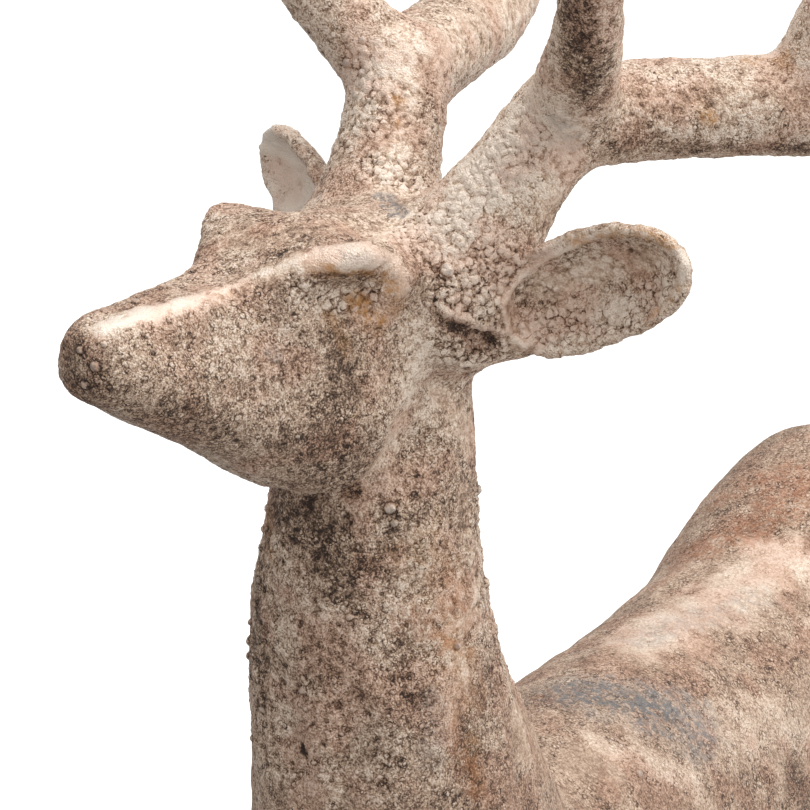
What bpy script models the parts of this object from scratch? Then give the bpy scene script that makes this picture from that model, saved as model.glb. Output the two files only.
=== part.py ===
"""Standing stag with its head turned to its right, cast in one with a low base.

Metres, +Z up. The stag faces -Y, its left side is +X, and the origin is the middle of the base's underside.
The figure is a free form: its pose and proportions are kept in design millimetres, shares of HEAD_LENGTH.
"""

import math

import bmesh
import bpy
import numpy as np
from mathutils import Matrix, Vector

# Driving dimensions, in metres: the head from nose to poll sets the size of the whole figure
HEAD_LENGTH = 0.130
EAR_WALL = 0.0045
BASE_THICKNESS = 0.014
BASE_MARGIN = 0.022
BASE_CORNER = 0.030
BASE_EDGE_ROUND = 0.004

# One design millimetre: the figure was drawn with a head 130 mm long
MM = HEAD_LENGTH / 130.0

# How far the head is turned from the body's own line, to the stag's right
HEAD_TURN = math.radians(20.0)
# The middle of the brow in the body's frame, in design millimetres above the base's top
BROW = Vector((-10.5, -190.0, 452.0))
# Half the length and half the width of the ground that the four hooves cover, in design millimetres
STANCE = Vector((40.0, 139.0, 0.0))

# Fineness of the skin: its grain, the rings between two stations, the points between two of a profile
GRAIN = HEAD_LENGTH / 84.0
ALONG = 5
AROUND = 4
FACES_KEPT = 9300


def body_point(x, y, z):
    """A point of the body in metres, from design millimetres with z above the base's top."""
    return Vector((x * MM, y * MM, z * MM + BASE_THICKNESS))


def head_axes():
    """The head's forward, left and up as the columns of a matrix."""
    forward = Vector((-math.sin(HEAD_TURN), -math.cos(HEAD_TURN), 0.0))
    left = Vector((math.cos(HEAD_TURN), -math.sin(HEAD_TURN), 0.0))
    return Matrix((forward, left, Vector((0.0, 0.0, 1.0)))).transposed()


def head_point(forward, left, up):
    """A point of the head in metres, from design millimetres forward, left and up of the brow's middle."""
    return body_point(*(BROW + head_axes() @ Vector((forward, left, up))))


def cardinal(before, start, end, after, share, tightness):
    """A cardinal spline between start and end. Tightness 0 is a round curve and 1 a straight line."""
    slope = 0.5 * (1.0 - tightness)
    tangent_start = (end - before) * slope
    tangent_end = (after - start) * slope
    s2, s3 = share**2, share**3
    return (
        start * (2 * s3 - 3 * s2 + 1)
        + tangent_start * (s3 - 2 * s2 + share)
        + end * (3 * s2 - 2 * s3)
        + tangent_end * (s3 - s2)
    )


def through(points, steps, closed=False, tightness=0.0):
    """A smooth line through points, rows of an array, with steps pieces between each two."""
    points = np.asarray(points, float)
    count = len(points)
    line = []
    for i in range(count if closed else count - 1):
        if closed:
            before, start, end, after = (points[(i + k) % count] for k in (-1, 0, 1, 2))
        else:
            before, start, end, after = (points[min(max(i + k, 0), count - 1)] for k in (-1, 0, 1, 2))
        for step in range(steps):
            line.append(cardinal(before, start, end, after, step / steps, tightness))
    if not closed:
        line.append(points[-1])
    return np.array(line)


def add_skin(mesh, rings):
    """Adds a closed tube of quads through rings of equal length, with a fan at each end."""
    rows = [[mesh.verts.new(p) for p in ring] for ring in rings]
    count = len(rows[0])
    for near, far in zip(rows, rows[1:]):
        for i in range(count):
            k = (i + 1) % count
            mesh.faces.new((near[i], near[k], far[k], far[i]))
    for row, flip in ((rows[0], True), (rows[-1], False)):
        middle = mesh.verts.new(sum((v.co for v in row), Vector()) / count)
        for i in range(count):
            k = (i + 1) % count
            mesh.faces.new((row[k], row[i], middle) if flip else (row[i], row[k], middle))


def add_ball(mesh, centre, radius, stretch=(1.0, 1.0, 1.0)):
    """Adds an ellipsoid: radius times stretch along x, y and z."""
    rings, segments = 14, 24
    size = Matrix.Diagonal([float(radius * s) for s in stretch])
    rows = []
    for i in range(1, rings):
        fall = math.pi * i / rings
        row = []
        for k in range(segments):
            turn = 2 * math.pi * k / segments
            way = Vector((math.sin(fall) * math.cos(turn), math.sin(fall) * math.sin(turn), math.cos(fall)))
            row.append(centre + size @ way)
        rows.append(row)
    add_skin(mesh, rows)


def add_limb(mesh, joints, place, side=Vector((1.0, 0.0, 0.0)), segments=20, steps=6):
    """Adds a round limb through joints, each (x, y, z, half width, half depth), with rounded ends."""
    line = through([list(place(*j[:3])) + [j[3] * MM, j[4] * MM] for j in joints], steps)
    centres = [Vector(row[:3]) for row in line]
    rings = []
    for i, row in enumerate(line):
        path = (centres[min(i + 1, len(line) - 1)] - centres[max(i - 1, 0)]).normalized()
        across = (side - path * side.dot(path)).normalized()
        deep = path.cross(across)
        turns = (2 * math.pi * k / segments for k in range(segments))
        rings.append([centres[i] + across * row[3] * math.cos(t) + deep * row[4] * math.sin(t) for t in turns])
    add_skin(mesh, rings)
    for row in (line[0], line[-1]):
        add_ball(mesh, Vector(row[:3]), min(row[3], row[4]))


def add_head(mesh):
    """The wedge-shaped head, lofted through half profiles from the nose back to the poll.

    Each station is its distance forward of the brow, then (left, up) points down one side: the top's middle, its
    edge, the side below it, the cheek, the jaw's edge and the middle of the chin. The other side mirrors it.
    """
    stations = (
        (66.2, [(0, -16.0), (2.3, -16.6), (3.8, -19.4), (3.4, -23.2), (2.0, -25.6), (0, -26.2)]),
        (64.8, [(0, -13.2), (4.0, -13.8), (7.2, -18.4), (7.4, -24.2), (4.4, -27.8), (0, -28.4)]),
        (59.5, [(0, -11.0), (6.6, -11.4), (10.8, -18.4), (11.2, -26.0), (6.4, -30.8), (0, -31.8)]),
        (50.0, [(0, -9.9), (7.8, -10.3), (12.8, -19.0), (13.6, -29.5), (7.6, -36.4), (0, -37.8)]),
        (34.0, [(0, -8.8), (9.0, -9.2), (14.4, -21.0), (16.0, -36.5), (9.0, -44.8), (0, -46.6)]),
        (21.0, [(0, -7.6), (11.0, -8.0), (16.8, -23.0), (18.4, -42.0), (11.0, -52.8), (0, -55.0)]),
        (12.0, [(0, -3.8), (17.2, -4.8), (19.0, -22.0), (20.8, -46.0), (12.8, -58.6), (0, -60.8)]),
        (3.0, [(0, 0.6), (25.2, -0.6), (21.4, -15.0), (23.0, -46.0), (14.5, -61.8), (0, -64.0)]),
        (-7.0, [(0, 2.4), (26.4, -1.4), (23.0, -17.0), (24.8, -46.0), (16.5, -62.8), (0, -65.2)]),
        (-18.0, [(0, 2.2), (25.8, -7.0), (24.2, -21.0), (24.0, -42.0), (15.0, -59.0), (0, -64.0)]),
        (-34.0, [(0, 0.0), (22.0, -8.0), (24.0, -24.0), (21.5, -38.0), (12.0, -50.0), (0, -58.0)]),
        (-48.0, [(0, -4.0), (18.0, -10.0), (21.5, -25.0), (19.0, -38.0), (11.0, -47.0), (0, -52.0)]),
        (-58.0, [(0, -16.0), (9.0, -19.0), (12.0, -27.0), (11.0, -36.0), (6.0, -42.0), (0, -43.0)]),
    )
    rings = []
    for forward, half in stations:
        other_side = [(-left, up) for left, up in reversed(half[1:-1])]
        ring = through(list(half) + other_side, AROUND, closed=True, tightness=0.3)
        rings.append([(forward, left, up) for left, up in ring])
    add_skin(mesh, [[head_point(*point) for point in ring] for ring in through(np.array(rings), ALONG)])


def add_antlers(mesh):
    """Two antlers, mirror images: a leaning stem, a brow tine, and a beam swept back and up with two tines more."""
    stem = ((-40, 12, -20, 23), (-47, 17, -8, 17.5), (-57, 23, 8, 13.2), (-67, 30, 23, 13.2))
    brow_tine = ((-66, 31.5, 23, 12.4), (-56, 46, 41, 9.4), (-47, 58, 59, 7.8), (-43, 65, 77, 6.0), (-44, 67, 93, 3.2))
    beam = (
        (-67, 30, 22, 13.2),
        (-85, 39, 22.6, 12.6),
        (-106, 51, 22.2, 12.5),
        (-128, 64, 23, 12.8),
        (-150, 75, 33, 10.6),
        (-163, 80, 51, 8.6),
        (-166, 80, 74, 6.8),
        (-162, 77, 95, 3.4),
    )
    middle_tine = ((-122, 60, 23, 13.2), (-124, 66, 43, 10.0), (-125, 75, 62, 7.4), (-124, 82, 81, 3.4))
    for side in (1, -1):
        for run in (stem, brow_tine, beam, middle_tine):
            joints = [(f, side * left, u, r, r) for f, left, u, r in run]
            add_limb(mesh, joints, head_point, side=Vector((0.3, 0.2, 1.0)))


def ear_width(along):
    """The ear's width along its length, as a share of its widest: an oval, fuller towards the head."""
    middle = 0.44
    share = (along - middle) / (middle if along < middle else 1.0 - middle)
    return max(math.sqrt(max(0.0, 1.0 - abs(share) ** 2.5)), 0.06)


def add_ears(mesh):
    """Two leaf-shaped ears, hollow in front and full at the back, each on a short stem below its antler."""
    length, width, hollow, rows, columns = 54.0, 29.8, 8.5, 26, 14
    root = Vector((-42.0, 32.0, -25.4))
    reach = Vector((-0.37, 0.83, 0.42)).normalized()
    broad = Vector((0.17, -0.38, 0.91)).normalized()
    face = reach.cross(broad)
    stem = ((-44, 18, -27, 13, 12), (-50, 28, -25.5, 12, 8.5), (-56, 38, -21, 7.5, 4.6))
    wall = EAR_WALL / MM
    leaf = []
    for i in range(rows + 1):
        along = i / rows
        half = 0.5 * width * ear_width(along)
        row = []
        for k in range(columns + 1):
            across = 2.0 * k / columns - 1.0
            depth = hollow * math.sin(math.pi * along) ** 0.7 * (1.0 - across**2)
            bend = 1.2 * math.sin(math.pi * along) - 0.8
            middle = root + reach * (length * along) + broad * (half * across + bend)
            row.append(middle + face * (3.0 * along**2 - depth))
        leaf.append(row)
    for side in (1, -1):
        mirror = Vector((1.0, side, 1.0))
        # Each row runs across the hollow and back across the rear, which gives the wall its thickness
        rings = []
        for row in leaf:
            rear = [p - face * wall for p in reversed(row)]
            rings.append([head_point(*(p * mirror)) for p in row + rear])
        add_skin(mesh, rings if side > 0 else [list(reversed(ring)) for ring in rings])
        add_limb(mesh, [(f, side * left, u, a, b) for f, left, u, a, b in stem], head_point, side=Vector((0, 0, 1)))


def add_neck(mesh):
    """The upright neck, a thick column that widens down into the chest."""
    joints = (
        (-1.0, -158.0, 405.0, 24.0, 24.0),
        (-0.9, -161.2, 378.0, 25.8, 26.4),
        (-1.8, -161.0, 350.0, 29.4, 31.0),
        (-1.0, -157.0, 320.0, 32.4, 37.0),
        (-0.5, -148.0, 290.0, 36.5, 45.0),
        (0.0, -136.0, 254.0, 40.0, 50.0),
        (0.0, -124.0, 214.0, 41.0, 47.0),
        (0.0, -112.0, 182.0, 37.0, 42.0),
    )
    add_limb(mesh, joints, body_point, segments=28)


def add_trunk(mesh):
    """The barrel of the body: stations of distance back, top, bottom, half width and height of the widest place."""
    stations = (
        (-158, 226, 178, 17, 202),
        (-146, 256, 152, 33, 208),
        (-120, 280, 136, 43, 214),
        (-90, 286, 133, 46, 214),
        (-40, 287, 137, 47, 214),
        (15, 288, 144, 46, 214),
        (65, 291, 159, 42.5, 224),
        (105, 304, 167, 42.5, 238),
        (140, 310, 174, 41, 242),
        (165, 294, 192, 31, 242),
        (176, 268, 222, 14, 244),
    )
    fullness, segments = 0.86, 32
    rings = []
    for back, top, bottom, half_width, widest in stations:
        ring = []
        for k in range(segments):
            turn = 2 * math.pi * k / segments
            out, up = math.sin(turn), math.cos(turn)
            reach = top - widest if up > 0 else widest - bottom
            x = half_width * math.copysign(abs(out) ** fullness, out)
            ring.append((x, back, widest + reach * math.copysign(abs(up) ** fullness, up)))
        rings.append(ring)
    add_skin(mesh, [[body_point(*point) for point in ring] for ring in through(np.array(rings), ALONG)])


def add_legs(mesh):
    """Four legs, each a run of joints from the shoulder or hip down to a cloven hoof."""
    fore = (
        (24, -108, 262, 17, 26),
        (33, -116, 218, 19, 30),
        (33.5, -112, 182, 17, 23),
        (31.5, -108, 150, 13, 16),
        (30, -110, 120, 10.4, 12.4),
        (29, -112, 101, 10.6, 12.0),
        (29, -111, 84, 7.8, 9.0),
        (29, -111, 50, 7.2, 8.0),
        (29, -112, 27, 8.8, 9.8),
        (29, -117, 17, 7.8, 8.6),
    )
    hind = (
        (20, 126, 266, 21, 34),
        (32, 124, 226, 21, 38),
        (35, 116, 184, 19, 32),
        (34, 122, 150, 15, 22),
        (32, 137, 122, 10.4, 14.5),
        (31, 146, 103, 9.4, 12.6),
        (31, 143, 83, 8.0, 10.0),
        (31, 137, 50, 7.4, 8.6),
        (31, 134, 27, 9.0, 10.0),
        (31, 130, 17, 8.0, 8.8),
    )
    hoof_spread, hoof_length, hoof_height = 5.0, 14.0, 9.0
    for side in (1, -1):
        for run in (fore, hind):
            add_limb(mesh, [(side * x, *rest) for x, *rest in run], body_point)
            x, y = run[-1][0], run[-1][1] - 7.0
            for toe in (x - hoof_spread, x + hoof_spread):
                joints = ((side * toe, y + 6, 14, 5.5, 6.0), (side * toe, y - 4, hoof_height - 3, 5.8, 6.5))
                add_limb(mesh, joints, body_point)
                add_ball(mesh, body_point(side * toe, y, 0), hoof_length * MM, stretch=(0.42, 1.0, 0.7))


def add_tail(mesh):
    """The short tail, held down against the rump."""
    joints = ((0, 162, 288, 10, 9), (0, 175, 272, 9, 7), (0, 181, 250, 7, 5.5), (0, 181, 232, 3.4, 3))
    add_limb(mesh, joints, body_point)


def add_base(mesh):
    """The low base that the hooves are cast into, a slab with round corners and an eased upper edge.

    It starts a little below its underside, which is then cut flat.
    """
    spare = 3 * GRAIN
    half_x, half_y = STANCE.x * MM + BASE_MARGIN, STANCE.y * MM + BASE_MARGIN
    corner = min(BASE_CORNER, half_x, half_y)
    ease = min(BASE_EDGE_ROUND, BASE_THICKNESS)
    levels = [(-spare, 0.0)]
    for step in range(7):
        angle = math.radians(90.0 * step / 6)
        levels.append((BASE_THICKNESS - ease * (1.0 - math.sin(angle)), ease * (1.0 - math.cos(angle))))
    rings = []
    for height, inward in levels:
        ring = []
        for quarter in range(4):
            for step in range(9):
                angle = math.radians(90.0 * quarter + 90.0 * step / 8)
                sx = 1 if quarter in (0, 3) else -1
                sy = 1 if quarter in (0, 1) else -1
                reach = max(corner - inward, 0.0)
                x = sx * (half_x - corner) + reach * math.cos(angle)
                y = sy * (half_y - corner) + reach * math.sin(angle)
                ring.append(Vector((x, y, height)))
        rings.append(ring)
    add_skin(mesh, rings)


def evaluated_copy(obj, name):
    """A new object holding obj's mesh with its modifiers worked in, in place of obj."""
    graph = bpy.context.evaluated_depsgraph_get()
    mesh = bpy.data.meshes.new_from_object(obj.evaluated_get(graph))
    bpy.data.objects.remove(obj)
    mesh.name = name
    made = bpy.data.objects.new(name, mesh)
    bpy.context.scene.collection.objects.link(made)
    return made


def fused(forms, name):
    """One closed skin round all the overlapping forms."""
    data = bpy.data.meshes.new(name + "_forms")
    forms.to_mesh(data)
    made = bpy.data.objects.new(name + "_forms", data)
    bpy.context.scene.collection.objects.link(made)
    remesh = made.modifiers.new("one skin", "REMESH")
    remesh.mode = "VOXEL"
    remesh.voxel_size = GRAIN
    remesh.adaptivity = 0.0
    return evaluated_copy(made, name)


# Where forms run into each other and the cast skin is eased: a place on the left side and its reach
HEAD_JUNCTIONS = (
    ((-44, 14, -4), 27),
    ((-69, 32, 24), 18),
    ((-126, 62, 26), 17),
    ((-48, 27, -14), 11),
    ((-44, 26, -38), 12),
    ((-34, 18, -52), 14),
)
BODY_JUNCTIONS = (
    ((0, -110, 286), 40),
    ((30, -130, 240), 44),
    ((20, -140, 180), 40),
    ((36, -100, 190), 44),
    ((36, 112, 230), 52),
    ((34, 100, 180), 40),
    ((26, 150, 200), 40),
    ((24, -110, 140), 28),
    ((26, 124, 150), 30),
    ((0, 168, 286), 22),
    ((30, -114, 8), 15),
    ((31, 134, 8), 15),
)


def skin_points(stag):
    """The skin's points as rows of an array."""
    points = np.empty(len(stag.data.vertices) * 3)
    stag.data.vertices.foreach_get("co", points)
    return points.reshape(-1, 3)


def weigh(stag, name, share):
    """Adds a vertex group with a weight for each point of the skin."""
    group = stag.vertex_groups.new(name=name)
    for level in range(1, 21):
        chosen = np.nonzero(np.round(share * 20) == level)[0]
        if len(chosen):
            group.add(chosen.tolist(), level / 20, "REPLACE")


def ease_junctions(stag):
    """Rounds the inner corners where forms meet, as the wax of the casting pattern was smoothed."""
    points = skin_points(stag)
    share = np.zeros(len(points))
    for side in (1, -1):
        places = [(head_point(f, side * left, u), reach) for (f, left, u), reach in HEAD_JUNCTIONS]
        places += [(body_point(side * x, y, z), reach) for (x, y, z), reach in BODY_JUNCTIONS]
        for centre, reach in places:
            distance = np.linalg.norm(points - np.array(centre), axis=1) / (reach * MM)
            share = np.maximum(share, np.clip(1.8 * (1.0 - distance), 0.0, 1.0))
    weigh(stag, "junctions", share)
    for name, group, turns in (("ease junctions", "junctions", 90), ("ease all", "", 7)):
        smooth = stag.modifiers.new(name, "SMOOTH")
        smooth.factor = 0.5
        smooth.iterations = turns
        smooth.vertex_group = group
    return evaluated_copy(stag, "stag")


# Hollows and ridges of the head: centre, reach and push, each forward, left and up of the brow
HEAD_STROKES = (
    ((1, 23, -12), (15, 13, 10), (-0.8, -4.6, -0.6)),
    ((-4, 26, -1), (14, 8, 6), (0.0, 1.8, 1.0)),
    ((-15, 26, -9), (6, 9, 8), (0.0, 1.6, 0.0)),
    ((-11, 26, -19), (6, 9, 9), (0.0, 1.6, 0.0)),
    ((-9, 25, -46), (8, 10, 18), (0.0, 1.6, 0.0)),
    ((-23, 26, -28), (7, 9, 11), (0.0, 1.2, 0.0)),
    ((-33, 23, -42), (8, 9, 10), (0.4, -2.0, 0.0)),
    ((-26, 20, -56), (8, 9, 8), (0.6, -2.4, 0.6)),
    ((-12, 12, -66), (10, 12, 5), (0.0, 0.0, 1.4)),
    ((-37, 29, -27), (7, 9, 6.5), (1.5, -7.5, -1.5)),
    ((42, 15, -17), (24, 7, 7), (0.0, -1.2, 0.0)),
    ((-20, 12, 3), (22, 9, 8), (0.0, 0.0, -1.6)),
)
# The same for the body, left, back and up
BODY_STROKES = (
    ((44, -66, 206), (14, 18, 60), (-2.6, 0.0, 0.0)),
    ((44, 74, 212), (14, 16, 46), (-4.0, 0.0, 0.0)),
    ((40, 132, 232), (16, 34, 40), (2.6, 0.0, 0.0)),
    ((40, -112, 224), (16, 22, 44), (2.6, 0.0, 0.0)),
    ((8, -190, 300), (9, 12, 90), (-1.0, 2.0, 0.0)),
    ((29, 106, 118), (12, 10, 18), (0.0, 2.0, 0.0)),
)


def model_strokes(stag):
    """Presses hollows into the skin and draws ridges out of it, alike on both sides."""
    points = skin_points(stag)
    axes = np.array(head_axes())
    head_origin = np.array(head_point(0, 0, 0))
    body_origin = np.array(body_point(0, 0, 0))
    works = ((HEAD_STROKES, axes, head_origin, (1, -1, 1)), (BODY_STROKES, np.eye(3), body_origin, (-1, 1, 1)))
    for strokes, turn, origin, other_side in works:
        local = (points - origin) / MM @ turn
        for centre, reach, push in strokes:
            for mirror in (np.ones(3), np.array(other_side)):
                distance = np.linalg.norm((local - mirror * centre) / reach, axis=1)
                share = np.clip(1.0 - distance**2, 0.0, 1.0) ** 2
                local = local + share[:, None] * (mirror * push)
        points = local @ turn.T * MM + origin
    stag.data.vertices.foreach_set("co", points.ravel())
    stag.data.update()


def thinned(stag):
    """Fewer and larger faces where the form is plain, and more of them on the head, antlers and hooves."""
    points = skin_points(stag)
    high = (points[:, 2] - body_point(0, 0, 380).z) / (40 * MM)
    low = (body_point(0, 0, 40).z - points[:, 2]) / (20 * MM)
    share = np.clip(np.maximum(high, 0.4 * low), 0.0, 1.0)
    weigh(stag, "plain", 1.0 - 0.35 * share)
    smooth = stag.modifiers.new("soften the strokes", "SMOOTH")
    smooth.factor = 0.5
    smooth.iterations = 4
    thin = stag.modifiers.new("fewer faces", "DECIMATE")
    thin.decimate_type = "COLLAPSE"
    thin.use_collapse_triangulate = True
    thin.vertex_group = "plain"
    thin.vertex_group_factor = 0.01
    thin.ratio = FACES_KEPT / (2.0 * len(stag.data.polygons))
    return evaluated_copy(stag, "stag")


def cut_underside(stag):
    """Cuts the base off flat at the ground and closes it."""
    mesh = bmesh.new()
    mesh.from_mesh(stag.data)
    everything = mesh.verts[:] + mesh.edges[:] + mesh.faces[:]
    cut = bmesh.ops.bisect_plane(
        mesh, geom=everything, dist=1e-6, plane_co=(0, 0, 0), plane_no=(0, 0, -1), clear_outer=True
    )
    rim = [e for e in cut["geom_cut"] if isinstance(e, bmesh.types.BMEdge)]
    bmesh.ops.contextual_create(mesh, geom=rim)
    bmesh.ops.triangulate(mesh, faces=[f for f in mesh.faces if len(f.verts) > 3])
    bmesh.ops.recalc_face_normals(mesh, faces=mesh.faces)
    mesh.to_mesh(stag.data)
    mesh.free()


def patina():
    """Cast metal under a beige brown patina."""
    material = bpy.data.materials.new("patina")
    material.use_nodes = True
    colour = (0.36, 0.265, 0.205, 1.0)
    shader = material.node_tree.nodes["Principled BSDF"]
    shader.inputs["Base Color"].default_value = colour
    shader.inputs["Roughness"].default_value = 0.55
    shader.inputs["Metallic"].default_value = 0.35
    material.diffuse_color = colour
    return material


def clear_scene():
    """Starts from an empty scene."""
    for obj in list(bpy.data.objects):
        bpy.data.objects.remove(obj)


def main():
    """Builds the stag, one solid on its base."""
    clear_scene()
    forms = bmesh.new()
    for add in (add_head, add_antlers, add_ears, add_neck, add_trunk, add_legs, add_tail, add_base):
        add(forms)
    stag = fused(forms, "stag")
    forms.free()
    stag = ease_junctions(stag)
    model_strokes(stag)
    stag = thinned(stag)
    cut_underside(stag)
    stag.data.shade_smooth()
    stag.data.materials.append(patina())


main()
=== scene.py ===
"""The stag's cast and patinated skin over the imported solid, with the photograph's camera, floor and light.

Metres, +Z up. The stag faces -Y. Lengths given in millimetres are turned into metres by MM. Places and
lengths in the picture are in pixels of its 810 by 810 frame, four to the millimetre at the head.
"""

import math

import bpy
import numpy as np
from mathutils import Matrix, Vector, noise
from mathutils.bvhtree import BVHTree


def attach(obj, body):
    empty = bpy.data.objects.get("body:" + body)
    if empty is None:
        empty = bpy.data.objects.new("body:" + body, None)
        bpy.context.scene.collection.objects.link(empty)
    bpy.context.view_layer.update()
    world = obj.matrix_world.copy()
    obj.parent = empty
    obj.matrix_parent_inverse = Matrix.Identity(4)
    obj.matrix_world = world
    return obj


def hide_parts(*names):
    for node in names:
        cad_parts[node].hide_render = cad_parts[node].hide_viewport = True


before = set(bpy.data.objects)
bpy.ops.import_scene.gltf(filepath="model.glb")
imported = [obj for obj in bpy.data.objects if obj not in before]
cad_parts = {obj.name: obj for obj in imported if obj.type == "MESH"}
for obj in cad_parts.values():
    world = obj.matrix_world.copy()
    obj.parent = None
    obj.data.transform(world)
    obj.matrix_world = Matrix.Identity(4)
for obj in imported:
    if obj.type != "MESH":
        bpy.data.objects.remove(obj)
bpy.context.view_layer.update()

# Without a seed, the noise vectors would be shifted by the clock
noise.seed_set(1)

MM = 0.001
PIXEL = 0.25 * MM

# The head's own axes: forward, left and up of the middle of the brow
BROW = np.array((-0.0105, -0.190, 0.466))
HEAD_TURN = math.radians(20.0)
HEAD_AXES = np.array((
    (-math.sin(HEAD_TURN), -math.cos(HEAD_TURN), 0.0),
    (math.cos(HEAD_TURN), -math.sin(HEAD_TURN), 0.0),
    (0.0, 0.0, 1.0),
)).T

# The camera: where it stands round the stag, how high, how far off, and the width it takes in at the head
AZIMUTH = math.radians(27.0)
ELEVATION = math.radians(17.5)
DISTANCE = 1.4
FIELD = 0.2025
SENSOR = 36.0
PIXELS = 810.0
BACK = np.array((
    math.sin(AZIMUTH) * math.cos(ELEVATION),
    -math.cos(AZIMUTH) * math.cos(ELEVATION),
    math.sin(ELEVATION),
))
RIGHT = np.array((math.cos(AZIMUTH), math.sin(AZIMUTH), 0.0))
UP = np.cross(BACK, RIGHT)

# How the skin is refined: an edge is split where it is SPLIT_OVER times too long, its middle rises by ROUNDING
# of the way to the round of its ends, up to MOST_RISE of its length, and faces count as level over LEVEL_COSINE
SPLIT_OVER = 1.38
ROUNDING = 0.7
MOST_RISE = 0.12
LEVEL_COSINE = 0.9
ON_FLOOR = 1e-6

# The wanted lengths of its edges in millimetres: on skin that the picture doesn't show, then on the rest
HIDDEN_EDGE = 7.0
HIDDEN_LEG_LESS = 2.6
HIDDEN_NECK_LESS = 2.0
HIDDEN_HEAD_EDGE = 2.4
UNDERSIDE_EDGE = 40.0
BODY_EDGE = 2.5
NECK_EDGE = 1.12
HEAD_EDGE = 0.88
ANTLER_MORE = 0.25
CRUST_EDGE = 0.6
BEAD_EDGE = 0.42
DENSITY = 0.95

# The relief's layers: size along the skin, then height or depth, in millimetres
SWELL, SWELL_HEIGHT = 26.0, 0.5
DENT, DENT_HEIGHT = 7.0, 0.26
GRIT, GRIT_HEIGHT = 2.2, 0.2
PEBBLE, PEBBLE_HEIGHT, PEBBLE_CRACK = 1.55, 0.27, 0.12
LUMP, LUMP_HEIGHT, LUMP_CRACK = 2.5, 0.68, 0.5
CRATER, CRATER_DEPTH = 3.4, 0.35

# The size that the mesh has to be able to show for the pebbles, the sizes of the noises that break up edges and
# gather the pebbles in patches, and a bead's height as a share of its radius in pixels
PEBBLE_SHOWN = 1.9
RAGGED = 5.0
PATCHES = 11.0
BEAD_HEIGHT = 0.2125


def head_place(forward, left, up):
    """A point in metres from millimetres forward, left and up of the brow's middle."""
    return BROW + HEAD_AXES @ np.array((forward, left, up)) * MM


TARGET = head_place(-40.5, 0.0, -53.0)
EYE = TARGET + BACK * DISTANCE


def step(low, high, value):
    """0 below low and 1 above high, with a smooth rise between."""
    share = np.clip((value - low) / (high - low), 0.0, 1.0)
    return share * share * (3.0 - 2.0 * share)


def picture_place(points):
    """Where points are seen in the picture, in pixels to the right and down."""
    away = points - EYE
    depth = -(away @ BACK)
    scale = PIXELS * DISTANCE / FIELD / depth
    return PIXELS / 2 + (away @ RIGHT) * scale, PIXELS / 2 - (away @ UP) * scale


def head_local(points):
    """Points in millimetres forward, left and up of the brow's middle."""
    return (points - BROW) @ HEAD_AXES / MM


def edges_of(faces):
    """Each edge once, as pairs of points, and for each face the edges between its corners 01, 12 and 20."""
    count = int(faces.max()) + 1
    ends = np.sort(faces[:, [0, 1, 1, 2, 2, 0]].reshape(-1, 2), axis=1).astype(np.int64)
    keys, place = np.unique(ends[:, 0] * count + ends[:, 1], return_inverse=True)
    return np.stack([keys // count, keys % count], axis=1), place.reshape(-1, 3)


def normals_of(points, faces):
    """A unit normal for each point, from its faces weighted by area."""
    a, b, c = (points[faces[:, k]] for k in range(3))
    across = np.cross(b - a, c - a)
    total = np.zeros_like(points)
    for k in range(3):
        for axis in range(3):
            total[:, axis] += np.bincount(faces[:, k], across[:, axis], len(points))
    return total / np.maximum(np.linalg.norm(total, axis=1), 1e-20)[:, None]


def packed_skin(node):
    """The node's mesh as points and triangles, with the points that its faces share joined."""
    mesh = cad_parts[node].data
    mesh.calc_loop_triangles()
    points = np.empty(len(mesh.vertices) * 3)
    mesh.vertices.foreach_get("co", points)
    faces = np.empty(len(mesh.loop_triangles) * 3, np.int32)
    mesh.loop_triangles.foreach_get("vertices", faces)
    points, faces = points.reshape(-1, 3), faces.reshape(-1, 3)
    _, first, index = np.unique(np.round(points / 1e-6), axis=0, return_index=True, return_inverse=True)
    faces = index.reshape(-1)[faces]
    whole = (faces[:, 0] != faces[:, 1]) & (faces[:, 1] != faces[:, 2]) & (faces[:, 2] != faces[:, 0])
    return points[first], faces[whole]


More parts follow.
